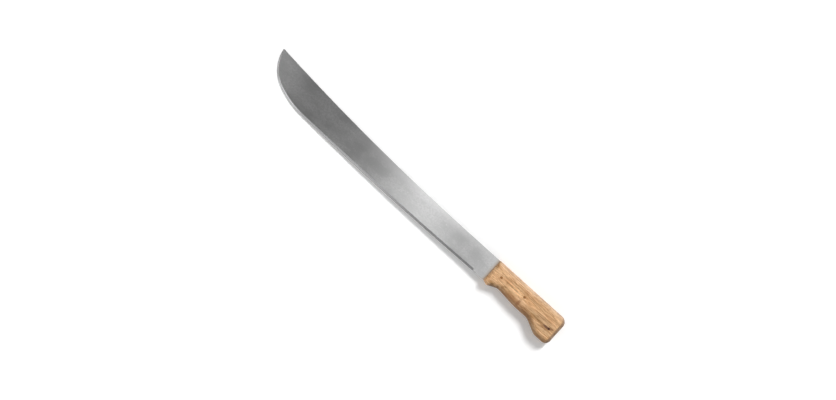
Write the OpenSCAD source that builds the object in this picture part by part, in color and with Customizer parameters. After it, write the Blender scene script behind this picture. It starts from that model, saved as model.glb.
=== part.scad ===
// Machete: a sheet steel blade whose full tang is held between two wooden scales by three
// peened pins. X runs from the pommel to the point, Y from the back to the cutting edge and
// Z through the thickness. The origin is under the middle of the outline, on the plane of the
// lower scale's outer face.

/* [Blade] */
// Length of the blade ahead of the handle
blade_len = 454.5; // [400:0.5:520]
// Thickness of the steel sheet
blade_t = 2.2; // [1.6:0.1:4]
// Width of the blade where it leaves the handle
heel_w = 38; // [36:0.5:40]
// Distance ahead of the handle of the middle of the bend in the back
back_bend_at = 262; // [200:1:300]
// Radius of the bend in the back
back_r = 3850; // [1500:50:4500]
// How far the point lies beyond the line of the back
point_rise = 18.6; // [6:0.2:24]
// Distance ahead of the handle of the middle of the long bow in the edge
bow_at = 215; // [160:1:240]
// How far the corner of the bow lies below the heel
bow_drop = 4.2; // [1:0.1:6]
// Radius of the long bow in the edge
bow_r = 6000; // [2000:100:8000]
// Distance of the belly's corner behind the point
belly_back = 61; // [50:0.1:80]
// Depth of the belly's corner below the line of the back
belly_w = 37.2; // [34:0.1:41]
// Radius of the belly
belly_r = 140; // [60:5:150]
// Distance of the nose's corner behind the point
nose_back = 7.4; // [4:0.1:12]
// Depth of the nose's corner below the line of the back
nose_w = 14.8; // [8:0.2:18]
// Radius of the nose
nose_r = 57; // [20:1:64]

/* [Cutting edge] */
// Width of the ground bevel along the edge
bevel_w = 3.6; // [2:0.1:6]
// Width of the ground bevel at the point
bevel_tip_w = 1.7; // [1:0.1:3.6]
// Distance ahead of the handle at which the ground bevel starts to narrow
narrow_at = 290; // [250:5:380]
// Thickness that is left at the edge
edge_t = 0.3; // [0.1:0.05:0.8]
// Length of the unground heel ahead of the handle
heel_len = 20; // [8:0.5:40]
// Length over which the bevel runs out at the heel
runout_len = 2.4; // [1:0.1:6]

/* [Handle] */
// Length of the handle
handle_len = 135.8; // [128:0.2:150]
// Thickness of each scale
scale_t = 10.2; // [8:0.1:14]
// How far the scales stand out past the tang
overhang = 0.75; // [0.2:0.05:1.2]
// Width of the rounded border of each scale
border_w = 6; // [2:0.1:7]
// Depth of the rounded border of each scale
border_h = 6.4; // [2:0.1:7]
// Radius of the corners at the front of the handle
front_r = 1.2; // [0.4:0.1:2]
// Distance of the finger lip behind the front
lip_at = 7.5; // [7:0.1:9]
// How far the finger lip hangs below the heel of the blade
lip_drop = 3; // [1.5:0.1:4]
// Radius of the finger lip
lip_r = 5; // [2:0.5:6]
// Distance of the forefinger notch behind the front
notch_at = 24; // [22:0.5:30]
// Width of the handle at the forefinger notch
notch_w = 34.1; // [31:0.1:37]
// Radius of the forefinger notch
notch_r = 11; // [5:0.5:20]
// Distance of the palm swell behind the front
palm_at = 61; // [50:0.5:66]
// Width of the handle at the palm swell
palm_w = 37.6; // [35:0.1:41]
// Radius of the palm swell
palm_r = 120; // [60:5:160]
// Width of the handle where the flare of the pommel begins
neck_w = 37.4; // [35:0.1:41]
// Radius of the hollow where the flare begins
neck_r = 20; // [8:1:26]
// Length of the flare
flare_len = 24; // [20:0.5:27]
// Width of the pommel
pommel_w = 48.9; // [45:0.1:55]
// Length of the pommel from the flare to the rear end
pommel_len = 25.3; // [22:0.1:28]
// Radius between the flare and the pommel
flare_r = 14; // [4:1:20]
// Radius of the pommel's corner on the side of the back
pommel_back_r = 11; // [7:0.5:14]
// Radius of the pommel's corner on the side of the edge
pommel_edge_r = 9; // [7:0.5:11]

/* [Pins] */
// Diameter of the pins
pin_d = 3.2; // [2.4:0.1:4.2]
// Diameter of the peened heads
head_d = 4.6; // [4.4:0.1:7]
// Depth of the peened heads
head_h = 1.2; // [0.8:0.1:2]
// Clearance round a pin in its hole
pin_gap = 0.05; // [0.02:0.01:0.15]
// Distance of the front pin behind the front of the handle
front_pin_at = 17.9; // [14:0.1:26]
// Distance of the front pin from the back of the handle
front_pin_in = 18.1; // [13:0.1:21]
// Distance of the middle pin behind the front of the handle
middle_pin_at = 63.2; // [50:0.1:76]
// Distance of the middle pin from the back of the handle
middle_pin_in = 16.8; // [13:0.1:21]
// Distance of the rear pin from the rear end of the handle
rear_pin_at = 14; // [12:0.1:20]
// Distance of the rear pin from the back of the handle
rear_pin_in = 27.3; // [14:0.1:30]

/* [Hidden] */

steel = "#b4b6b5";
wood = "#d0a982";
dark_iron = "#5b4636";

// An arc has a point at least every arc_turn degrees and every arc_run mm.
arc_turn = 5;
arc_run = 35;
// Part of a straight side that the arcs at its two ends may take up
side_share = 0.96;
// Smallest radius that is left at a corner moved inwards
corner_r = 0.3;
border_rings = 6;
runout_steps = 4;
$fn = 48;

handle_t = 2 * scale_t + blade_t;
mid_z = handle_t / 2;
rear_x = -handle_len;
pommel_x = rear_x + pommel_len;
neck_x = pommel_x + flare_len;
belly_x = blade_len - belly_back;
nose_x = blade_len - nose_back;

// An outline is a list of corners [x, y, radius], anticlockwise, with the inside on the left.
// The back of the blade lies along y = 0, and the front of the handle is at x = 0.
function across(w) = w - overhang;
handle_corners = [
    [rear_x, across(0), pommel_back_r],
    [0, across(0), front_r],
    [0, heel_w, front_r],
    [-lip_at, heel_w + lip_drop, lip_r],
    [-notch_at, across(notch_w), notch_r],
    [-palm_at, across(palm_w), palm_r],
    [neck_x, across(neck_w), neck_r],
    [pommel_x, across(pommel_w), flare_r],
    [rear_x, across(pommel_w), pommel_edge_r]
];

function after(c, i) = c[(i + 1) % len(c)];
function before(c, i) = c[(i + len(c) - 1) % len(c)];
function flat(corner) = [corner[0], corner[1]];
function left(v) = [-v[1], v[0]];
function turned(v, a) = [v[0] * cos(a) - v[1] * sin(a), v[0] * sin(a) + v[1] * cos(a)];
function heading(a, b) = (flat(b) - flat(a)) / norm(flat(b) - flat(a));
function side_in(c, i) = heading(before(c, i), c[i]);
function side_out(c, i) = heading(c[i], after(c, i));
function side_len(c, i) = norm(flat(after(c, i)) - flat(c[i]));
// A left turn is positive, and is an outward corner.
function bend(c, i) = atan2(cross(side_in(c, i), side_out(c, i)), side_in(c, i) * side_out(c, i));

// Length of each side that a corner's arc takes, less where two arcs would meet
function reach(c, i) = c[i][2] * tan(abs(bend(c, i)) / 2);
function room(c, i) =
    min(1, side_share * side_len(c, i) / max(corner_r, reach(c, i) + reach(c, (i + 1) % len(c))));
function fitted(c, i) = reach(c, i) * min(room(c, i), room(c, (i + len(c) - 1) % len(c)));

function steps(c) = [for (i = [0 : len(c) - 1]) let (a = abs(bend(c, i)))
    c[i][2] == 0 ? 0 : ceil(max(a / arc_turn, c[i][2] * a * PI / 180 / arc_run))];

function arc(c, i, n) = let (
        r = fitted(c, i) / tan(abs(bend(c, i)) / 2),
        side = left(side_in(c, i)) * sign(bend(c, i)) * r,
        start = flat(c[i]) - side_in(c, i) * fitted(c, i)
    ) [for (k = [0 : n]) start + side - turned(side, bend(c, i) * k / n)];
function rounded(c, n) = [for (i = [0 : len(c) - 1]) each n[i] == 0 ? [flat(c[i])] : arc(c, i, n[i])];

// The corners moved inwards by d, with each arc about the same centre as before
function inset(c, d) = [for (i = [0 : len(c) - 1]) let (
        a = bend(c, i),
        p = flat(c[i]) + turned(left(side_in(c, i)), a / 2) * d / cos(a / 2)
    ) [p[0], p[1], max(c[i][2] - sign(a) * d, corner_r)]];

// The tang is the handle's outline moved inwards by the overhang, open at the front.
tang_corners = inset(handle_corners, overhang);
runout = [for (k = [runout_steps : -1 : 0]) heel_len + runout_len * k / runout_steps];
blade_corners = concat(
    [
        tang_corners[0],
        [back_bend_at, 0, back_r],
        [blade_len, -point_rise, 0],
        [nose_x, nose_w, nose_r],
        [belly_x, belly_w, belly_r],
        [bow_at, heel_w + bow_drop, bow_r]
    ],
    [for (x = runout) [x, heel_w + bow_drop * x / bow_at, 0]],
    [[0, heel_w, front_r]],
    [for (i = [3 : len(tang_corners) - 1]) tang_corners[i]]
);
blade_steps = steps(blade_corners);
edge_line = rounded(blade_corners, blade_steps);

// The ground bevel runs from the point, where the arcs of the back end, to the runout.
point_i = blade_steps[0] + blade_steps[1] + 2;
point_angle = 180 - bend(blade_corners, 2);
bevel_end_i = point_i + blade_steps[3] + blade_steps[4] + blade_steps[5] + 3 + len(runout);
function bevel_depth(x) = x > heel_len + runout_len ? 1
    : sqrt(max(0, 1 - pow(1 - (x - heel_len) / runout_len, 2)));
function bevel_at(x) = bevel_depth(x)
    * (bevel_w + (bevel_tip_w - bevel_w) * max(0, x - narrow_at) / (blade_len - narrow_at));
function inward(c, i) = left(heading(before(c, i), after(c, i)));
flat_line = [for (i = [0 : len(edge_line) - 1]) let (p = edge_line[i])
    i == point_i ? p - side_in(edge_line, i) * bevel_tip_w / sin(point_angle)
    : i > point_i && i <= bevel_end_i ? p + inward(edge_line, i) * bevel_at(p[0])
    : p];

handle_steps = steps(handle_corners);
handle_line = rounded(handle_corners, handle_steps);
outline_y = [for (p = concat(edge_line, handle_line)) p[1]];
middle = [(blade_len - handle_len) / 2, (min(outline_y) + max(outline_y)) / 2, 0];
module seat() translate(-middle) children();

function at_z(line, z) = [for (p = line) [p[0], p[1], z]];

// A solid through rings of as many points each, lowest ring first, closed by flat faces
module stacked(rings) {
    n = len(rings[0]);
    top = (len(rings) - 1) * n;
    walls = [for (r = [0 : n : top - n]) for (i = [0 : n - 1]) let (j = (i + 1) % n)
        each [[r + i, r + n + j, r + j], [r + i, r + n + i, r + n + j]]];
    polyhedron(
        points = [for (ring = rings) each ring],
        faces = concat([[for (i = [0 : n - 1]) i]], walls, [[for (i = [n - 1 : -1 : 0]) top + i]])
    );
}

pins = [
    [-front_pin_at, across(front_pin_in), mid_z],
    [-middle_pin_at, across(middle_pin_in), mid_z],
    [rear_x + rear_pin_at, across(rear_pin_in), mid_z]
];

// A pin about its own middle, with a cone peened into each scale: gap widens it all round,
// and past carries the cones on beyond the scales.
module pin_form(gap = 0, past = 0) {
    cone = (head_d - pin_d) / 2 / head_h;
    shank_r = pin_d / 2 + gap;
    shank_z = handle_t / 2 - head_h;
    end_r = shank_r + cone * (head_h + past);
    end_z = handle_t / 2 + past;
    rotate_extrude() polygon([
        [0, -end_z], [end_r, -end_z], [shank_r, -shank_z], [shank_r, shank_z], [end_r, end_z], [0, end_z]
    ]);
}

module pin_holes() for (p = pins) translate(p) pin_form(pin_gap, head_h);

// One scale on the plane of the tang's face, with its flat outer face up
module scale_form() stacked(concat(
    [at_z(handle_line, 0)],
    [for (k = [0 : border_rings]) let (a = 90 * k / border_rings)
        at_z(rounded(inset(handle_corners, border_w * (1 - cos(a))), handle_steps),
            scale_t - border_h * (1 - sin(a)))]
));

module blade() color(steel) seat() difference() {
    translate([0, 0, mid_z]) stacked([
        at_z(flat_line, -blade_t / 2), at_z(edge_line, -edge_t / 2),
        at_z(edge_line, edge_t / 2), at_z(flat_line, blade_t / 2)
    ]);
    pin_holes();
}

module top_scale() color(wood) seat() difference() {
    translate([0, 0, mid_z + blade_t / 2]) scale_form();
    pin_holes();
}

module bottom_scale() color(wood) seat() difference() {
    translate([0, 0, mid_z - blade_t / 2]) mirror([0, 0, 1]) scale_form();
    pin_holes();
}

module pin(i) color(dark_iron) seat() translate(pins[i]) pin_form();

blade();
top_scale();
bottom_scale();
pin(0);  // front_pin
pin(1);  // middle_pin
pin(2);  // rear_pin
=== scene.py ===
import cmath
import math

import bmesh
import bpy
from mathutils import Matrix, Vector, noise


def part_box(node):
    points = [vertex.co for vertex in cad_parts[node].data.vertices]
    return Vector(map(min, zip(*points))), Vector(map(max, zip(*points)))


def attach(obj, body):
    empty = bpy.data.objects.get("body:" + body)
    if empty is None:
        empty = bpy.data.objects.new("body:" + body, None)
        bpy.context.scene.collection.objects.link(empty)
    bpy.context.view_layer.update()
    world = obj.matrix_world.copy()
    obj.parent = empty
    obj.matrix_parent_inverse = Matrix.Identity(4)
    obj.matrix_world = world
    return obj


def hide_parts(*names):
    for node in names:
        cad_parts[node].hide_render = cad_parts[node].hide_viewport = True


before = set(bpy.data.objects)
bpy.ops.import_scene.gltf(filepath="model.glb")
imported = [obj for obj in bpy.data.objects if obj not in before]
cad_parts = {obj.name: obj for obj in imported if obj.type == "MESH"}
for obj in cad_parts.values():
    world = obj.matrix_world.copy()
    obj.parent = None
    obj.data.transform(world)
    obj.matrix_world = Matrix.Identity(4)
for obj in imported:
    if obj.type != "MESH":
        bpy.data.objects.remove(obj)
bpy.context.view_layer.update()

# Blade
# One strip of rolled carbon steel sheet, sheared to its outline and deburred, with a narrow bevel
# ground along the belly on both sides. Behind the handle's front it runs on as a full tang.
# Sizes are in mm. x = 0 is the front of the handle, y = 0 the straight back, z = 0 mid-sheet.
MM = 0.001
BLADE_LEN = 454.5
BACK_BEND_AT = 262
BACK_R = 3850
POINT_RISE = 18.6
POINT_R = 0.8
HEEL_W = 38
BOW_AT = 215
BOW_DROP = 4.2
BOW_R = 6000
BELLY_BACK = 61
BELLY_W = 37.2
BELLY_R = 140
NOSE_BACK = 7.4
NOSE_W = 14.8
NOSE_R = 57
BEVEL_W = 3.6
BEVEL_TIP_W = 1.7
NARROW_AT = 290
BEVEL_WAVE = 0.1
BEVEL_WAVE_LEN = 30
EDGE_T = 0.3
HEEL_LEN = 20
RUNOUT_LEN = 3
# Width of a painted warm reflection of the wood in front of the handle, and of painted shade in the
# corner there
WOOD_REFLECTION_W = 5.5
GAP_SHADE_W = 2.2
# A painted brighter sheen along the back: its width, where it starts to fade, where it has gone, and
# its most
BACK_SHEEN_W = 14
BACK_SHEEN_FADE = BACK_BEND_AT - 30
BACK_SHEEN_TO = BACK_BEND_AT + 40
BACK_SHEEN_SHARE = 0.3
SHEAR_R = 0.12

# The handle's outline, which the tang follows a little inside
HANDLE_LEN = 135.8
OVERHANG = 0.75
FRONT_R = 1.2
LIP_AT = 7.5
LIP_DROP = 3
LIP_R = 5
NOTCH_AT = 24
NOTCH_W = 34.1
NOTCH_R = 11
PALM_AT = 61
PALM_W = 37.6
PALM_R = 120
POMMEL_LEN = 25.3
FLARE_LEN = 24
NECK_W = 37.4
NECK_R = 20
POMMEL_W = 48.9
FLARE_R = 14
POMMEL_BACK_R = 11
POMMEL_EDGE_R = 9

# An outline has a point at least every ARC_TURN radians and every SIDE_RUN mm. The arcs at the
# two ends of a side take up at most SIDE_SHARE of it.
ARC_TURN = math.radians(3)
SIDE_RUN = 4
SIDE_SHARE = 0.96
# Least radius of a corner that has moved in, and what a sanded outward one gets for each mm
CORNER_R = 0.3
SANDED = 0.6

blade_lo, blade_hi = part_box("blade")
scale_lo, scale_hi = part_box("top_scale")
FRONT_X = scale_hi.x / MM
BACK_Y = scale_lo.y / MM + OVERHANG
MID_Z = (blade_lo.z + blade_hi.z) / 2 / MM
HALF_T = (blade_hi.z - blade_lo.z) / 2 / MM


def placed(p, z):
    """A point of an outline, a complex number in mm, at height z above mid-sheet, in metres."""
    return Vector((FRONT_X + p.real, BACK_Y + p.imag, MID_Z + z)) * MM


def heading(a, b):
    """The direction from a to b, as a number of length 1."""
    return (b - a) / abs(b - a)


def sides(corners):
    """Heading of the side that leads to each corner (place, radius), and the turn there."""
    ins = [heading(corners[i - 1][0], corners[i][0]) for i in range(len(corners))]
    return [(ins[i], cmath.phase(ins[(i + 1) % len(ins)] / ins[i])) for i in range(len(ins))]


def arc_steps(corners):
    """How many steps each corner's arc is cut into."""
    return [math.ceil(max(abs(turn) / ARC_TURN, r * abs(turn) / SIDE_RUN)) if r else 0
            for (p, r), (side, turn) in zip(corners, sides(corners))]


def rounded(corners, steps):
    """The points of each corner's arc, which is smaller where two arcs would meet."""
    turns = sides(corners)
    count = len(corners)
    reach = [r * math.tan(abs(turn) / 2) for (p, r), (side, turn) in zip(corners, turns)]
    room = [SIDE_SHARE * abs(corners[(i + 1) % count][0] - corners[i][0])
            / max(CORNER_R, reach[i] + reach[(i + 1) % count]) for i in range(count)]
    arcs = []
    for i, ((place, r), (side, turn)) in enumerate(zip(corners, turns)):
        fit = reach[i] * min(1, room[i], room[i - 1])
        arm = 1j * side * fit / math.tan(turn / 2)
        start = place - side * fit
        arcs.append([start + arm - arm * cmath.rect(1, turn * k / steps[i])
                     for k in range(steps[i] + 1)] if steps[i] else [place])
    return arcs


def side_parts(arcs):
    """How many parts each stretch of an outline is cut into."""
    line = sum(arcs, [])
    return [math.ceil(abs(line[(i + 1) % len(line)] - p) / SIDE_RUN) for i, p in enumerate(line)]


def cut_line(arcs, parts):
    """One closed line through the arcs, with each stretch of it cut into its parts."""
    line = sum(arcs, [])
    return [p + (line[(i + 1) % len(line)] - p) * k / parts[i]
            for i, p in enumerate(line) for k in range(parts[i])]


def moved_in(corners, widths, sanded=0):
    """The corners of an outline once its sides have moved in. Each side's width has the number
    of the corner before it."""
    moved = []
    for i, ((place, r), (side, turn)) in enumerate(zip(corners, sides(corners))):
        before, after = widths[i - 1], widths[i]
        slide = (before * math.cos(turn) - after) / math.sin(turn)
        r_in = r - math.copysign((before + after) / 2, turn)
        r_sanded = sanded * (before + after) / 2 if turn > 0 else 0
        moved.append((place + side * (1j * before + slide), max(r_in, r_sanded, CORNER_R)))
    return moved


def inward(line, i):
    """The direction into the outline, square to it, at a point of its line."""
    return 1j * heading(line[i - 1], line[(i + 1) % len(line)])


handle_corners = [
    (complex(-HANDLE_LEN, -OVERHANG), POMMEL_BACK_R),
    (complex(0, -OVERHANG), FRONT_R),
    (complex(0, HEEL_W), FRONT_R),
    (complex(-LIP_AT, HEEL_W + LIP_DROP), LIP_R),
    (complex(-NOTCH_AT, NOTCH_W - OVERHANG), NOTCH_R),
    (complex(-PALM_AT, PALM_W - OVERHANG), PALM_R),
    (complex(POMMEL_LEN + FLARE_LEN - HANDLE_LEN, NECK_W - OVERHANG), NECK_R),
    (complex(POMMEL_LEN - HANDLE_LEN, POMMEL_W - OVERHANG), FLARE_R),
    (complex(-HANDLE_LEN, POMMEL_W - OVERHANG), POMMEL_EDGE_R),
]
tang_corners = moved_in(handle_corners, [OVERHANG] * len(handle_corners))
blade_corners = [
    tang_corners[0],
    (complex(BACK_BEND_AT, 0), BACK_R),
    (complex(BLADE_LEN, -POINT_RISE), POINT_R),
    (complex(BLADE_LEN - NOSE_BACK, NOSE_W), NOSE_R),
    (complex(BLADE_LEN - BELLY_BACK, BELLY_W), BELLY_R),
    (complex(BOW_AT, HEEL_W + BOW_DROP), BOW_R),
]
POINT_CORNER = 2
# The bevel runs out along a quarter circle, in steps of RUNOUT_TURN degrees.
RUNOUT_TURN = 10
for turn in range(90, -1, -RUNOUT_TURN):
    x = HEEL_LEN + RUNOUT_LEN * math.sin(math.radians(turn))
    blade_corners.append((complex(x, HEEL_W + BOW_DROP * x / BOW_AT), 0))
bevel_stop = blade_corners[-1][0]
# The heel's corner, and then the tang from the finger lip round to the pommel
blade_corners += [(complex(0, HEEL_W), FRONT_R)] + tang_corners[3:]

blade_arcs = rounded(blade_corners, arc_steps(blade_corners))
blade_line = cut_line(blade_arcs, side_parts(blade_arcs))
point_start = blade_line.index(blade_arcs[POINT_CORNER][0])
point_end = blade_line.index(blade_arcs[POINT_CORNER][-1])
bevel_end = blade_line.index(bevel_stop)
bevel_widths = [SHEAR_R] * POINT_CORNER + [BEVEL_TIP_W] * (len(blade_corners) - POINT_CORNER)
bevel_point = moved_in(blade_corners, bevel_widths)[POINT_CORNER][0]


def ground(i):
    """How much of the bevel there is at a point of the outline: it runs out at the heel."""
    if not point_start < i < bevel_end:
        return 0
    if i < point_end:
        return (i - point_start) / (point_end - point_start)
    left = min(1, (blade_line[i].real - HEEL_LEN) / RUNOUT_LEN)
    return math.sqrt(1 - (1 - left) ** 2)


def blade_ring(turn):
    """The edge's section at one turn: 0 lies on the flat, a quarter turn on the wall."""
    ring = []
    share = turn / (math.pi / 2)
    for i, p in enumerate(blade_line):
        narrow = max(0, p.real - NARROW_AT) / (BLADE_LEN - NARROW_AT)
        wave = BEVEL_WAVE * noise.noise((p.real / BEVEL_WAVE_LEN, 0, 0))
        width = BEVEL_W + wave + (BEVEL_TIP_W - BEVEL_W) * narrow
        depth = ground(i)
        inset = (1 - depth) * SHEAR_R * (1 - math.sin(turn)) + depth * width * (1 - share)
        drop = (1 - depth) * SHEAR_R * (1 - math.cos(turn)) + depth * (HALF_T - EDGE_T / 2) * share
        if point_start <= i <= point_end:
            ring.append((p + (bevel_point - p) * inset / width, HALF_T - drop))
        else:
            ring.append((p + inward(blade_line, i) * inset, HALF_T - drop))
    return ring


def piece(name, rings, material_of=None):
    """A closed mesh through rings of points in metres, with a flat face at each end. The wall
    from a point of a ring to the next has the material that material_of numbers."""
    count = len(rings[0])
    bm = bmesh.new()
    verts = [[bm.verts.new(p) for p in ring] for ring in rings]
    bm.faces.new(verts[0][::-1])
    bm.faces.new(verts[-1])
    for low, high in zip(verts, verts[1:]):
        for i in range(count):
            j = (i + 1) % count
            wall = bm.faces.new([low[i], low[j], high[j], high[i]])
            wall.material_index = material_of(i) if material_of else 0
    bmesh.ops.remove_doubles(bm, verts=bm.verts, dist=MM / 1000)
    bmesh.ops.recalc_face_normals(bm, faces=bm.faces)
    mesh = bpy.data.meshes.new(name)
    bm.to_mesh(mesh)
    bm.free()
    made = bpy.data.objects.new(name, mesh)
    bpy.context.scene.collection.objects.link(made)
    return made


EDGE_TURNS = [math.radians(a) for a in (0, 18, 36, 54, 72, 90)]
blade_rings = [[placed(p, -z) for p, z in blade_ring(turn)] for turn in EDGE_TURNS]
blade_rings += [[placed(p, z) for p, z in blade_ring(turn)] for turn in EDGE_TURNS[::-1]]
# Material slots of the blade's walls. Its flats have slot 0.
GROUND, SHEARED = 1, 2
blade = piece("blade_steel_strip", blade_rings,
              lambda i: GROUND if point_start < i < bevel_end else SHEARED)


def linear(colour):
    """The linear red, green, blue and alpha of an sRGB hex colour."""
    parts = [int(colour[i:i + 2], 16) / 255 for i in (1, 3, 5)]
    return [c / 12.92 if c <= 0.04045 else ((c + 0.055) / 1.055) ** 2.4 for c in parts] + [1]


def add(tree, kind, inputs=None, **settings):
    """Adds a node with its settings, and with a link or a value on each named input."""
    made = tree.nodes.new(kind)
    for name, value in settings.items():
        setattr(made, name, value)
    for socket, value in (inputs or {}).items():
        if isinstance(value, bpy.types.NodeSocket):
            tree.links.new(value, made.inputs[socket])
        else:
            made.inputs[socket].default_value = value
    return made.outputs


def new_material(name):
    """A node material, with its tree and the place on the piece in mm."""
    made = bpy.data.materials.new(name)
    made.use_nodes = True
    made.node_tree.nodes.clear()
    tree = made.node_tree
    place = add(tree, "ShaderNodeTexCoord")["Object"]
    place = add(tree, "ShaderNodeMapping", {"Vector": place, "Scale": [1 / MM] * 3})["Vector"]
    return made, tree, place


def grain(tree, place, size, detail=2, roughness=0.5, distortion=0):
    """Noise whose spots measure size = (x, y, z) in mm."""
    scaled = add(tree, "ShaderNodeMapping", {"Vector": place, "Scale": [1 / s for s in size]})
    return add(tree, "ShaderNodeTexNoise", {
        "Vector": scaled["Vector"], "Scale": 1, "Detail": detail, "Roughness": roughness,
        "Distortion": distortion})["Fac"]


SOFT = {"interpolation_type": "SMOOTHSTEP"}
BLEND = {"data_type": "RGBA"}
MATH = "ShaderNodeMath"


def layered(tree, tone, layers):
    """Lays colours over a tone. A layer is (value, low, high, most, colour): it covers nothing
    where its value is low, and the share most of the tone where its value is high."""
    for value, low, high, most, colour in layers:
        cover = add(tree, "ShaderNodeMapRange", {
            "Value": value, "From Min": low, "From Max": high, "To Max": most}, **SOFT)["Result"]
        tone = add(tree, "ShaderNodeMix", {0: cover, 6: tone, 7: linear(colour)}, **BLEND)[2]
    return tone


def finished(tree, inputs, height, depth):
    """The shader of a solid surface, with a bump where 1 of the height stands for depth in mm."""
    bump = add(tree, "ShaderNodeBump", {"Height": height, "Distance": depth * MM})["Normal"]
    shader = add(tree, "ShaderNodeBsdfPrincipled", {**inputs, "Normal": bump})["BSDF"]
    add(tree, "ShaderNodeOutputMaterial", {"Surface": shader})


def steel_material(name, light, dark, line, roughness):
    """Bright carbon steel. Rolling and grinding leave lines. They are too fine to show, so they
    are drawn coarser, line = (x, y, z) mm in size. Handling leaves cloudy patches and specks, and
    brush and soil leave short light scuffs. So the surface mirrors the room as a soft sheen.
    A painted brighter sheen lies along the straight of the back. A painted warm reflection of the
    wood lies in a narrow strip along the front of the handle, with painted shade in the corner
    there."""
    made, tree, place = new_material(name)
    along, across = add(tree, "ShaderNodeSeparateXYZ", {0: place})[:2]
    cloud = grain(tree, place, (34, 17, 20), 3, 0.55)
    mottle = grain(tree, place, (3.2, 2.6, 3), 3, 0.65)
    scuff = grain(tree, place, (3.6, 1.5, 3), 2, 0.6, 0.5)
    lines = grain(tree, place, line, 2, 0.6)
    # Painted sheen along the back, full near the handle and fading towards the point
    back_sheen = add(tree, "ShaderNodeMapRange", {
        "Value": along, "From Min": FRONT_X + BACK_SHEEN_TO, "From Max": FRONT_X + BACK_SHEEN_FADE,
        "To Max": BACK_SHEEN_SHARE}, **SOFT)["Result"]
    tone = layered(tree, linear(light), [
        (cloud, 0.3, 0.7, 1, dark),
        (mottle, 0.4, 0.62, 0.75, dark),
        (lines, 0.35, 0.75, 0.15, dark),
        (scuff, 0.6, 0.72, 0.5, "#cbcbcb"),
        # Painted brighter sheen along the straight of the back
        (across, BACK_Y + BACK_SHEEN_W, BACK_Y, back_sheen, "#dcdcdc"),
        # Painted warm reflection of the handle's wood in the steel
        (along, FRONT_X + WOOD_REFLECTION_W, FRONT_X, 0.55, "#a88c6a"),
        # Painted shade in the corner against the handle
        (along, FRONT_X + GAP_SHADE_W, FRONT_X, 0.22, "#6b5b49"),
    ])
    rough = add(tree, "ShaderNodeMapRange", {
        "Value": cloud, "From Min": 0.3, "From Max": 0.7,
        "To Min": roughness + 0.01, "To Max": roughness - 0.01}, **SOFT)["Result"]
    finished(tree, {"Base Color": tone, "Metallic": 1, "Roughness": rough}, mottle, 0.012)
    return made


# The flats are as the rolls left them, and the bevel is finer, from the grinding belt. The shear
# leaves a torn, dull wall, which a file has only broken at its edges.
for steel in (("rolled_steel", "#bebebe", "#acacac", (40, 0.6, 0.6), 0.285),
              ("ground_steel", "#b4b4b4", "#a9a9a9", (24, 0.8, 0.8), 0.26),
              ("sheared_steel", "#9c9c9c", "#868686", (6, 0.6, 0.6), 0.6)):
    blade.data.materials.append(steel_material(*steel))
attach(blade, "root")
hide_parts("blade")

# Scales
# Two slabs of beech, sawn to the handle's outline with the grain along it, rounded over all
# round the outer face, sanded, and wiped with oil. The lower one is the mirror of the upper one.
SCALE_T = scale_hi.z / MM - MID_Z - HALF_T
# Width and depth of the rounded border along each side
BACK_BORDER = (7, 8.5)
FRONT_BORDER = (7, 5)
LIP_BORDER = (8.5, 9)
GRIP_BORDER = (13, 9.7)
FLARE_BORDER = (9.2, 9.7)
POMMEL_BORDER = (9.5, 9.8)
REAR_BORDER = (5.5, 9)
# A power of 1 would make the border a flat bevel, and one of 2 a quarter of an ellipse.
ROUND_POWER = 1.75
BORDER_STEPS = 18
# The edge at the tang is broken by BREAK, and the border's faces run on over FLAT_RIM of the flat.
BREAK = 0.25
FLAT_RIM = 0.6
# Depth and length of the waves that sanding by hand has left
HAND_WAVE = 0.15
HAND_WAVE_LEN = 18
borders = [BACK_BORDER, FRONT_BORDER, LIP_BORDER, LIP_BORDER, GRIP_BORDER, GRIP_BORDER,
           FLARE_BORDER, POMMEL_BORDER, REAR_BORDER]

handle_steps = arc_steps(handle_corners)
handle_parts = side_parts(rounded(handle_corners, handle_steps))


def round_outline(values):
    """A value for each point of the handle's outline, from a value for each of its sides."""
    return cut_line([[values[i - 1] + (values[i] - values[i - 1]) * k / steps
                      for k in range(steps + 1)] for i, steps in enumerate(handle_steps)],
                    handle_parts)


border_depths = round_outline([depth for width, depth in borders])


def scale_ring(share, more, levels, side):
    """A ring of a scale, in by a share of the border and some more, at levels above the sheet."""
    corners = moved_in(handle_corners, [width * share + more for width, depth in borders], SANDED)
    line = cut_line(rounded(corners, handle_steps), handle_parts)
    ring = []
    for i, (p, z) in enumerate(zip(line, levels)):
        spot = Vector((p.real, p.imag, z * side)) / HAND_WAVE_LEN
        wave = HAND_WAVE * (1 - share) * (0.5 + 0.5 * noise.noise(spot))
        ring.append(placed(p + inward(line, i) * wave, side * (HALF_T + z)))
    return ring


def scale(name, side):
    """One scale: side is 1 above the tang, -1 below it."""
    count = len(border_depths)
    rings = [scale_ring(0, BREAK, [0] * count, side),
             scale_ring(0, 0, [BREAK] * count, side)]
    for k in range(BORDER_STEPS + 1):
        turn = math.pi / 2 * k / BORDER_STEPS
        share = 1 - math.cos(turn) ** (2 / ROUND_POWER)
        drop = 1 - math.sin(turn) ** (2 / ROUND_POWER)
        levels = [SCALE_T - drop * depth for depth in border_depths]
        rings.append(scale_ring(share, 0, levels, side))
    rings.append(scale_ring(1, FLAT_RIM, [SCALE_T] * count, side))
    return piece(name, rings if side > 0 else rings[::-1])


scales = [scale("top_beech_scale", 1), scale("bottom_beech_scale", -1)]

# Where the pins come through, with heads that have stained the wood round them
pin_places = [complex(-17.9, 18.1 - OVERHANG), complex(-63.2, 16.8 - OVERHANG),
              complex(14 - HANDLE_LEN, 27.3 - OVERHANG)]
HEAD_R = 1.9

# A patch fades from this share of its half sizes on, and most go right through the wood.
PATCH_CORE = 0.35
PATCH_DEPTH = 60


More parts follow.
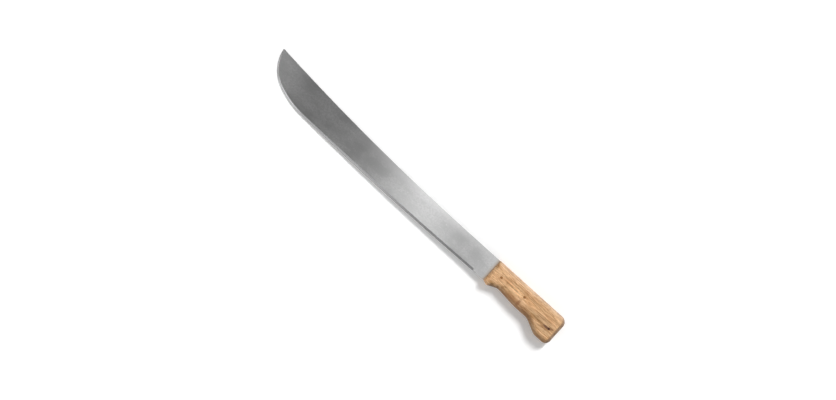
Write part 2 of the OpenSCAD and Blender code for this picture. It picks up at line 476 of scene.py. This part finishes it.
def patch(tree, place, middle, size, turn=0, most=1):
    """A soft patch with the given half sizes in mm: most at its middle, and 0 past its rim."""
    away = add(tree, "ShaderNodeMapping", {
        "Vector": place, "Location": middle, "Rotation": (0, 0, turn), "Scale": size},
        vector_type="TEXTURE")["Vector"]
    away = add(tree, "ShaderNodeVectorMath", {0: away}, operation="LENGTH")["Value"]
    return add(tree, "ShaderNodeMapRange", {
        "Value": away, "From Min": PATCH_CORE, "From Max": 1, "To Min": most, "To Max": 0,
    }, **SOFT)["Result"]


def on_face(x, y):
    """A place on the upper scale's face in mm, from the handle's front and the line of the back."""
    return placed(complex(x, y), HALF_T + SCALE_T) / MM


# Darker and lighter places on the upper scale: place, half length, half width and brightness
SPOTS = [
    (-112, 25, 34, 9, 0.78),
    (-88, 23.5, 20, 5, 0.78),
    # Painted shade under the finger lip
    (-14.5, 35.2, 5, 4, 0.7),
    (-100, 2, 45, 9, 0.9),
    (-62, 17, 40, 6, 1.12),
    (-75, 10.8, 100, 3.4, 0.83),
    (-116, 33.8, 22, 5, 0.76),
    (-95, 27, 24, 3.5, 0.86),
    (-36, 24.5, 16, 5, 0.85),
    (-50, 7, 9, 3, 0.85),
    (-88, 33.5, 12, 6, 0.8),
    (-76, 30.5, 11, 5, 0.84),
    (-12, 31.5, 7, 4, 0.84),
    # Painted shade on the front rounding, near the back
    (-2, 5, 3.2, 10, 0.76),
    (-42, 17, 22, 1.2, 0.62),
    (-42, 14.3, 24, 1.5, 1.16),
    (-50, 19.6, 15, 1.5, 1.16),
    (-47.4, 12, 2.6, 1.5, 0.7),
    (-29.7, 17.3, 2.2, 1.5, 0.7),
    (-8, 24.8, 2.2, 1.6, 0.74),
    (-31.3, 24.2, 2.2, 1.5, 0.76),
    (-104, 18.7, 20, 1.2, 0.7),
    (-108, 21.2, 15, 1.1, 0.74),
    (-101, 27, 12, 1.4, 0.7),
]
DARK_SATURATION = 1.05
# How strongly each pin, from the front one to the rear one, has stained the wood
PIN_STAINS = (0.35, 0.45, 0.8)


def beech_material():
    """Oiled beech: straight growth lines along the handle, with short light and dark streaks
    where the saw has cut through the wavy fibres, and short dark rays. The end grain is darker and
    carries painted shade, the belly side has painted shade, and the back's rounding a painted sheen."""
    made, tree, place = new_material("oiled_beech")
    wander = grain(tree, place, (60, 16, 16), 2)
    wander = add(tree, "ShaderNodeMapRange", {
        "Value": wander, "From Min": 0.2, "From Max": 0.8, "To Min": -0.7, "To Max": 0.7,
    }, **SOFT)["Result"]
    shift = add(tree, "ShaderNodeCombineXYZ", {"Y": wander})[0]
    fibre = add(tree, "ShaderNodeVectorMath", {0: place, 1: shift}, operation="ADD")[0]
    bands = grain(tree, fibre, (95, 5, 7), 2, 0.5)
    rings = grain(tree, fibre, (110, 1.5, 5), 1, 0.5)
    light = grain(tree, fibre, (17, 1.4, 2), 3, 0.6)
    dark = grain(tree, fibre, (12, 1.2, 2), 3, 0.65, 0.2)
    rays = grain(tree, fibre, (2.6, 0.5, 0.9), 1, 0.5)
    cloud = grain(tree, place, (22, 10, 12), 2)
    tone = layered(tree, linear("#bc8e5e"), [
        (bands, 0.38, 0.62, 1, "#d2a87d"),
        (rings, 0.52, 0.66, 0.6, "#e8bf90"),
        (rings, 0.46, 0.34, 0.4, "#a97a48"),
        (light, 0.48, 0.6, 0.9, "#ecc192"),
        (cloud, 0.45, 0.7, 0.45, "#b9834f"),
        (dark, 0.53, 0.64, 0.8, "#9a6a3c"),
        (rays, 0.6, 0.72, 0.5, "#8a5c35"),
    ])

    # Painted light and shade by the way that the surface faces: a paler, duller painted sheen along
    # the back, painted shade on the belly side behind the lip, and on the darker end grain painted
    # shade, deepest at the rear and less at the front. Each has a value, the range over which it
    # sets in, its most, a saturation and a brightness.
    normal = add(tree, "ShaderNodeSeparateXYZ", {0: add(tree, "ShaderNodeNewGeometry")["Normal"]})
    along = add(tree, "ShaderNodeSeparateXYZ", {0: place})["X"]
    behind_lip = add(tree, "ShaderNodeMapRange", {
        "Value": along, "From Min": FRONT_X - 7, "From Max": FRONT_X - 13}, **SOFT)["Result"]
    for value, low, high, most, saturation, brightness in (
            (normal["Y"], -0.3, -0.9, 1, 0.82, 0.92),
            (normal["Y"], 0.1, 0.9, behind_lip, 1.12, 0.46),
            (normal["X"], -0.05, -0.8, 1, 0.95, 0.4),
            (normal["X"], 0.1, 0.6, 1, 1, 0.79)):
        share = add(tree, "ShaderNodeMapRange", {
            "Value": value, "From Min": low, "From Max": high, "To Max": most}, **SOFT)["Result"]
        tone = add(tree, "ShaderNodeHueSaturation", {
            "Fac": share, "Color": tone, "Saturation": saturation, "Value": brightness})["Color"]

    # Painted shade over the belly side of the grip
    painted_belly_shade = patch(tree, place, on_face(-62, 38), (46, 20, PATCH_DEPTH), most=0.28)
    tone = add(tree, "ShaderNodeMix", {0: painted_belly_shade, 6: tone, 7: linear("#8a5530")}, **BLEND)[2]
    for x, y, length, width, brightness in SPOTS:
        spot = patch(tree, place, on_face(x, y), (length, width, PATCH_DEPTH))
        tone = add(tree, "ShaderNodeHueSaturation", {
            "Fac": spot, "Color": tone, "Saturation": DARK_SATURATION if brightness < 1 else 1,
            "Value": brightness})["Color"]

    # A knot, the stains round the pins, which go right through, and a split in two lengths
    marks = [(patch(tree, fibre, on_face(-61.5, 29), (4, 8, 8), most=0.75), "#875830")]
    for p, most in zip(pin_places, PIN_STAINS):
        x, y = on_face(p.real, p.imag).xy
        stain = patch(tree, fibre, (x, y, 0), (HEAD_R + 2.4, HEAD_R + 1, 90), most=most)
        marks.append((stain, "#6a4223"))
    marks.append((patch(tree, place, on_face(-117.3, 27), (9, 2.7, 6), math.radians(2)), "#683f22"))
    marks.append((patch(tree, place, on_face(-125.5, 25), (5, 1.8, 6), math.radians(18)), "#855a34"))
    for mark, colour in marks:
        tone = add(tree, "ShaderNodeMix", {0: mark, 6: tone, 7: linear(colour)}, **BLEND)[2]

    rough = add(tree, "ShaderNodeMapRange", {
        "Value": light, "From Min": 0.3, "From Max": 0.7, "To Min": 0.6, "To Max": 0.5,
    }, **SOFT)["Result"]
    relief = add(tree, MATH, {0: light, 1: dark}, operation="SUBTRACT")[0]
    finished(tree, {"Base Color": tone, "Roughness": rough, "IOR": 1.5}, relief, 0.12)
    return made


beech = beech_material()
for made, node in zip(scales, ("top_scale", "bottom_scale")):
    made.data.materials.append(beech)
    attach(made, "root")
    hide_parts(node)

# Pins
# Three soft iron pins through the scales and the tang. Each end is peened over into a cone in the
# wood, which leaves a low, slightly uneven dome, and the iron has browned and stained the wood.
PIN_R = 1.4
HEAD_H = 1.2
DOME_H = 0.3
PIN_GAP = 0.05
PEEN_WAVE = 0.12
# Size of a hammer mark
PEEN_SIZE = 1.4
PIN_TURN_SEED = 4
PIN_SIDES = 32
PIN_RINGS = 49
PIN_LEN = 2 * (HALF_T + SCALE_T)


def pin_tree():
    """Turns each point into a pin along z: a shank that widens into a cone at both ends."""
    tree = bpy.data.node_groups.new("peened_pins", "GeometryNodeTree")
    tree.interface.new_socket("Geometry", in_out="INPUT", socket_type="NodeSocketGeometry")
    for name in ("Length", "Shank Radius", "Cone Slope", "Cone Depth", "Dome Depth", "Unevenness"):
        tree.interface.new_socket(name, in_out="INPUT", socket_type="NodeSocketFloat")
    tree.interface.new_socket("Seed", in_out="INPUT", socket_type="NodeSocketInt")
    tree.interface.new_socket("Material", in_out="INPUT", socket_type="NodeSocketMaterial")
    tree.interface.new_socket("Geometry", in_out="OUTPUT", socket_type="NodeSocketGeometry")
    given = add(tree, "NodeGroupInput")

    # The rings lie closer together near both ends, as the sine of an even turn.
    half = add(tree, MATH, {0: given["Length"], 1: 0.5}, operation="MULTIPLY")[0]
    line = add(tree, "GeometryNodeCurvePrimitiveLine", {"End": (0, 0, 1)})["Curve"]
    line = add(tree, "GeometryNodeResampleCurve", {"Curve": line, "Count": PIN_RINGS})["Curve"]
    share = add(tree, "GeometryNodeSplineParameter")["Factor"]
    swing = add(tree, MATH, {0: share, 1: 0.5}, operation="SUBTRACT")[0]
    swing = add(tree, MATH, {0: swing, 1: math.pi}, operation="MULTIPLY")[0]
    swing = add(tree, MATH, {0: swing}, operation="SINE")[0]
    height = add(tree, MATH, {0: swing, 1: half}, operation="MULTIPLY")[0]
    line = add(tree, "GeometryNodeSetPosition", {
        "Geometry": line, "Position": add(tree, "ShaderNodeCombineXYZ", {"Z": height})[0]})[0]

    # The radius: a shank, a cone that widens to the end, and a dome over the last of it
    level = add(tree, "ShaderNodeSeparateXYZ", {0: add(tree, "GeometryNodeInputPosition")[0]})["Z"]
    level = add(tree, MATH, {0: level}, operation="ABSOLUTE")[0]
    below_end = add(tree, MATH, {0: half, 1: level}, operation="SUBTRACT")[0]
    in_cone = add(tree, MATH, {0: given["Cone Depth"], 1: below_end}, operation="SUBTRACT")[0]
    in_cone = add(tree, MATH, {0: in_cone, 1: 0}, operation="MAXIMUM")[0]
    radius = add(tree, MATH, {0: in_cone, 1: given["Cone Slope"]}, operation="MULTIPLY")[0]
    radius = add(tree, MATH, {0: given["Shank Radius"], 1: radius}, operation="ADD")[0]
    on_dome = add(tree, MATH, {0: below_end, 1: given["Dome Depth"]}, operation="DIVIDE")[0]
    on_dome = add(tree, MATH, {0: on_dome, 1: 1}, operation="MINIMUM")[0]
    crown = add(tree, MATH, {0: 1, 1: on_dome}, operation="SUBTRACT")[0]
    crown = add(tree, MATH, {0: crown, 1: 2}, operation="POWER")[0]
    crown = add(tree, MATH, {0: 1, 1: crown}, operation="SUBTRACT")[0]
    crown = add(tree, MATH, {0: crown}, operation="SQRT")[0]
    radius = add(tree, MATH, {0: radius, 1: crown}, operation="MULTIPLY")[0]
    circle = add(tree, "GeometryNodeCurvePrimitiveCircle", {"Resolution": PIN_SIDES, "Radius": 1})
    pin = add(tree, "GeometryNodeCurveToMesh", {
        "Curve": line, "Profile Curve": circle["Curve"], "Scale": radius, "Fill Caps": True,
    })["Mesh"]
    turn = add(tree, "FunctionNodeRandomValue", {2: 0, 3: math.tau, "Seed": given["Seed"]},
               data_type="FLOAT")[1]
    pins = add(tree, "GeometryNodeInstanceOnPoints", {
        "Points": given["Geometry"], "Instance": pin,
        "Rotation": add(tree, "ShaderNodeCombineXYZ", {"Z": turn})[0]})["Instances"]
    pins = add(tree, "GeometryNodeRealizeInstances", {"Geometry": pins})["Geometry"]

    # Hammer marks push the pins' skin about sideways.
    blows = add(tree, "ShaderNodeTexNoise", {"Scale": 1 / (PEEN_SIZE * MM), "Detail": 1})["Color"]
    blows = add(tree, "ShaderNodeVectorMath", {0: blows, 1: (0.5, 0.5, 0.5)},
                operation="SUBTRACT")[0]
    blows = add(tree, "ShaderNodeVectorMath", {0: blows, 1: (1, 1, 0)}, operation="MULTIPLY")[0]
    blows = add(tree, "ShaderNodeVectorMath", {0: blows, "Scale": given["Unevenness"]},
                operation="SCALE")[0]
    pins = add(tree, "GeometryNodeSetPosition", {"Geometry": pins, "Offset": blows})[0]
    pins = add(tree, "GeometryNodeSetShadeSmooth", {"Geometry": pins})[0]
    pins = add(tree, "GeometryNodeMergeByDistance", {"Geometry": pins, "Distance": MM / 1000})[0]
    pins = add(tree, "GeometryNodeSetMaterial", {
        "Geometry": pins, "Material": given["Material"]})[0]
    add(tree, "NodeGroupOutput", {"Geometry": pins})
    return tree


def pins(name, **inputs):
    """Pins, or cutters for their holes, at all the pins' places, as one plain mesh."""
    mesh = bpy.data.meshes.new(name + "_places")
    mesh.from_pydata([placed(p, 0) for p in pin_places], [], [])
    points = bpy.data.objects.new(name + "_places", mesh)
    bpy.context.scene.collection.objects.link(points)
    modifier = points.modifiers.new("pins", "NODES")
    modifier.node_group = peened_pins
    for item in peened_pins.interface.items_tree:
        if item.in_out == "INPUT" and item.name in inputs:
            modifier[item.identifier] = inputs[item.name]
    seen = points.evaluated_get(bpy.context.evaluated_depsgraph_get())
    made = bpy.data.objects.new(name, bpy.data.meshes.new_from_object(seen))
    made.data.name = name
    bpy.context.scene.collection.objects.link(made)
    points.modifiers.remove(modifier)
    bpy.data.objects.remove(points)
    return made


def iron_material():
    """Soft iron under a thin skin of brown oxide, blotched, with small raised specks of darker
    rust. The rear pin, where the wood has split and let in damp, has rusted furthest."""
    made, tree, place = new_material("browned_iron")
    blotch = grain(tree, place, (1.1, 1.1, 1.1), 3, 0.6)
    speck = grain(tree, place, (0.3, 0.3, 0.3), 2, 0.6)
    along = add(tree, "ShaderNodeSeparateXYZ", {0: place})["X"]
    rear_x = placed(pin_places[2], 0).x / MM
    tone = layered(tree, linear("#8a5a2e"), [
        (blotch, 0.35, 0.65, 1, "#a4733f"),
        (along, rear_x + 5, rear_x + 4, 1, "#45261a"),
        (speck, 0.5, 0.7, 0.6, "#5a3a20"),
    ])
    rough = add(tree, "ShaderNodeMapRange", {
        "Value": blotch, "From Min": 0.3, "From Max": 0.7, "To Min": 0.6, "To Max": 0.42,
    }, **SOFT)["Result"]
    finished(tree, {"Base Color": tone, "Roughness": rough, "Specular IOR Level": 0.2}, speck, 0.04)
    return made


peened_pins = pin_tree()
CONE_SLOPE = (HEAD_R - PIN_R) / HEAD_H
pin_set = pins("iron_pins", Length=PIN_LEN * MM, Seed=PIN_TURN_SEED, Material=iron_material(),
               **{"Shank Radius": PIN_R * MM, "Cone Slope": CONE_SLOPE, "Cone Depth": HEAD_H * MM,
                  "Dome Depth": DOME_H * MM, "Unevenness": PEEN_WAVE * MM})
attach(pin_set, "root")
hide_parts("front_pin", "middle_pin", "rear_pin")

# Holes
# The holes for the pins are drilled through the scales and the tang together, a little wider than
# the shanks, and countersunk at both ends for the peened heads.
DRILL_PAST = 1
DRILL_DOME = 0.1
CREASE = math.radians(40)
# A face whose normal has more than this along z is one of the blade's flats.
LEVEL_Z = 0.99999
drill = pins("pin_drill", Length=(PIN_LEN + 2 * DRILL_PAST) * MM, Seed=PIN_TURN_SEED,
             **{"Shank Radius": (PIN_R + PIN_GAP) * MM, "Cone Slope": CONE_SLOPE,
                "Cone Depth": (HEAD_H + DRILL_PAST) * MM, "Dome Depth": DRILL_DOME * MM,
                "Unevenness": 0.0})


def drilled(made, flats):
    """Cuts the pins' holes, and marks edges past the crease, and those round flats, as sharp."""
    hole = made.modifiers.new("holes", "BOOLEAN")
    hole.operation = "DIFFERENCE"
    hole.solver = "EXACT"
    hole.object = drill
    seen = made.evaluated_get(bpy.context.evaluated_depsgraph_get())
    mesh = bpy.data.meshes.new_from_object(seen)
    made.modifiers.remove(hole)
    made.data = mesh
    bm = bmesh.new()
    bm.from_mesh(mesh)
    for face in bm.faces:
        face.smooth = True
    for edge in bm.edges:
        if len(edge.link_faces) == 2:
            a, b = edge.link_faces
            level = [abs(f.normal.z) > LEVEL_Z for f in (a, b)]
            edge.smooth = not (a.normal.angle(b.normal, 0) > CREASE
                               or flats and level[0] != level[1])
    bm.to_mesh(mesh)
    bm.free()


drilled(blade, True)
for made in scales:
    drilled(made, False)
bpy.data.objects.remove(drill)

# Floor
# A wide white sheet. It tilts a little against the part, because a machete that is laid down
# leans forward until the front of its handle and its point both touch. The sheet isn't quite
# flat: it swells a little where the blade passes over it, most of all nearer to the handle.
# Half width and half length in metres
FLOOR_HALF = 25
SWELL = 0.9 * MM
SWELL_LEAN = 0.6
SWELL_STEPS = 48
PAPER_GLOW = 0.052
touch_x = placed(complex(-FRONT_BORDER[0], 0), 0).x
slope = blade_lo.z / (blade_hi.x - touch_x)
floor_line = [(-FLOOR_HALF, 0)]
for k in range(SWELL_STEPS + 1):
    share = k / SWELL_STEPS
    rise = SWELL * math.sin(math.pi * share ** SWELL_LEAN)
    floor_line.append((scale_hi.x + (blade_hi.x - scale_hi.x) * share, rise))
floor_line.append((FLOOR_HALF, 0))
bm = bmesh.new()
sides_of_floor = [[bm.verts.new((x, y, (x - touch_x) * slope + rise)) for x, rise in floor_line]
                  for y in (-FLOOR_HALF, FLOOR_HALF)]
rows = list(zip(*sides_of_floor))
for (a, d), (b, c) in zip(rows, rows[1:]):
    bm.faces.new([a, b, c, d]).smooth = True
floor_mesh = bpy.data.meshes.new("floor")
bm.to_mesh(floor_mesh)
bm.free()
floor = bpy.data.objects.new("floor", floor_mesh)
bpy.context.scene.collection.objects.link(floor)
# Matt paper, with a faint glow to the lens and in the steel, so that it comes out white
paper = bpy.data.materials.new("white_paper")
paper.use_nodes = True
paper.node_tree.nodes.clear()
tree = paper.node_tree
sheet = add(tree, "ShaderNodeBsdfDiffuse", {"Color": linear("#fefefe")})["BSDF"]
ray = add(tree, "ShaderNodeLightPath")
seen = add(tree, MATH, {0: ray["Is Camera Ray"], 1: ray["Is Glossy Ray"]}, operation="ADD")[0]
seen = add(tree, MATH, {0: seen, 1: ray["Is Transmission Ray"]}, operation="ADD")[0]
seen = add(tree, MATH, {0: seen, 1: PAPER_GLOW}, operation="MULTIPLY")[0]
glow = add(tree, "ShaderNodeEmission", {"Strength": seen})["Emission"]
sheet = add(tree, "ShaderNodeAddShader", {0: sheet, 1: glow})[0]
add(tree, "ShaderNodeOutputMaterial", {"Surface": sheet})
floor_mesh.materials.append(paper)

# Light
# A soft lamp from the side of the back, taller than wide and so made of two, and a pale room
# round it that is darkest overhead and brighter away from the lamp. A small white card beside the
# blade lightens its shadow. Soft panels overhead give the steel its sheen and light nothing else.
# Each has a place along and across the blade and a size, in metres, and a brightness.
KEYS = {"key_low": Vector((-0.13, -1.06, 1)), "key_high": Vector((-0.13, -0.78, 1))}
KEY_SIZE = math.radians(13)
# Brightness that the lamp gives to a white floor
KEY_SHARE = 0.57
CARD_AT = Vector((0.02, 0.26, 0.15))
CARD_SIZE = (0.24, 0.08)
CARD_POWER = 0.147
# Brightness of the room low down and overhead, how fast it changes, and how far it leans to +Y
ROOM_LOW = 0.84
ROOM_HIGH = 0
ROOM_POWER = 0.45
ROOM_LEAN = 0.17
PANEL_Z = 0.5
# Watts for each square metre of a panel and each 1 of its brightness
PANEL_POWER = 4
PANELS = {
    "sheen_over_blade": ((-0.0205, -0.08), (0.108, 0.44), 1.49),
    "sheen_over_handle": ((-0.335, -0.08), (0.4, 0.44), 0.89),
    "sheen_over_middle": ((0.11, -0.08), (0.075, 0.44), 0.15),
    "sheen_on_bevel": ((0.0985, 0.3), (0.207, 0.2), 0.5),
    "sheen_on_belly": ((0.435, 0.42), (0.37, 0.35), 0.83),
    "sheen_on_point": ((0.314, -0.03), (0.036, 0.2), 1.35),
    "sheen_on_nose": ((0.95, 0.4), (0.35, 0.35), 0.6),
}


def lamp(name, kind, look_from, look_at, **settings):
    """A lamp that shines from one place towards another."""
    data = bpy.data.lights.new(name, kind)
    for key, value in settings.items():
        setattr(data, key, value)
    made = bpy.data.objects.new(name, data)
    made.location = look_from
    made.rotation_euler = (look_from - look_at).to_track_quat("Z", "Y").to_euler()
    bpy.context.scene.collection.objects.link(made)
    return made


for name, look_from in KEYS.items():
    lamp(name, "SUN", look_from, Vector(), angle=KEY_SIZE,
         energy=KEY_SHARE / len(KEYS) * math.pi / look_from.normalized().z)
card = lamp("card_beside_blade", "AREA", CARD_AT, Vector(), shape="RECTANGLE",
            size=CARD_SIZE[0], size_y=CARD_SIZE[1], energy=CARD_POWER)
card.visible_camera = False
card.visible_glossy = False
for name, ((x, y), (width, depth), brightness) in PANELS.items():
    made = lamp(name, "AREA", Vector((x, y, PANEL_Z)), Vector((x, y, 0)), shape="RECTANGLE",
                size=width, size_y=depth, energy=PANEL_POWER * brightness * width * depth)
    made.visible_camera = False
    made.visible_diffuse = False

world = bpy.data.worlds.new("room")
world.use_nodes = True
bpy.context.scene.world = world
sky = world.node_tree
sky.nodes.clear()
toward = add(sky, "ShaderNodeSeparateXYZ", {0: add(sky, "ShaderNodeTexCoord")["Generated"]})
down = add(sky, MATH, {0: 1, 1: toward["Z"]}, operation="SUBTRACT", use_clamp=True)[0]
fall = add(sky, MATH, {0: down, 1: ROOM_POWER}, operation="POWER")[0]
glow = add(sky, "ShaderNodeMapRange", {"Value": fall, "To Min": ROOM_HIGH, "To Max": ROOM_LOW})[0]
glow = add(sky, MATH, {0: toward["Y"], 1: ROOM_LEAN, 2: glow}, operation="MULTIPLY_ADD")[0]
room = add(sky, "ShaderNodeBackground", {"Color": (1, 1, 1, 1), "Strength": glow})["Background"]
add(sky, "ShaderNodeOutputWorld", {"Surface": room})

# Camera
# A long lens straight above the blade, turned so that the point lies at the upper left.
# Width of the view, place of its middle and height of the lens, in metres, and sensor in mm
SHEET_W = 1.254
VIEW_AT = (-0.00634, 0.00013)
LENS_HEIGHT = 10
SENSOR_W = 36
FAR = 100
CAMERA_TURN = math.radians(222.153)
camera_data = bpy.data.cameras.new("camera")
camera_data.sensor_width = SENSOR_W
camera_data.lens = SENSOR_W * LENS_HEIGHT / SHEET_W
camera_data.clip_end = FAR
camera = bpy.data.objects.new("camera", camera_data)
camera.location = (*VIEW_AT, MID_Z * MM + LENS_HEIGHT)
camera.rotation_euler = (0, 0, CAMERA_TURN)
bpy.context.scene.collection.objects.link(camera)
bpy.context.scene.camera = camera
bpy.context.scene.view_settings.view_transform = "Standard"
